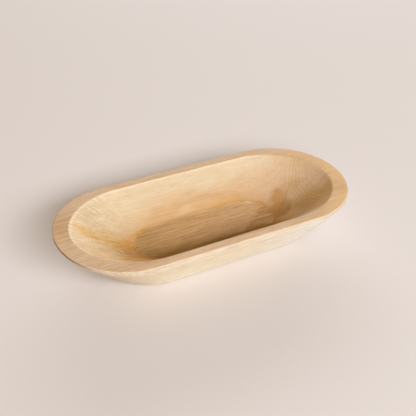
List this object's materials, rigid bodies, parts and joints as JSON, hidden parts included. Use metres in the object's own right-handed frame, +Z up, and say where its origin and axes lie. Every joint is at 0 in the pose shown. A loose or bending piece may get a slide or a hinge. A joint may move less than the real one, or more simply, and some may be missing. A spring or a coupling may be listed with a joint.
{
  "type": "dough bowl",
  "caption": "Long oval bowl carved from one block of pale wood, with a flat rim, sloping walls and a flat floor and underside.",
  "frame": {"origin": "middle of the flat underside, on the surface that the bowl stands on", "axes": "+X along the bowl's length, +Y across it, +Z up out of the mouth"},
  "size_m": [0.4, 0.187, 0.0545],
  "materials": {
    "wood": "bare or lightly oiled pale hardwood, fine straight grain, matt"
  },
  "bodies": {
    "root": {"bowl": "wood"}
  },
  "joints": []
}
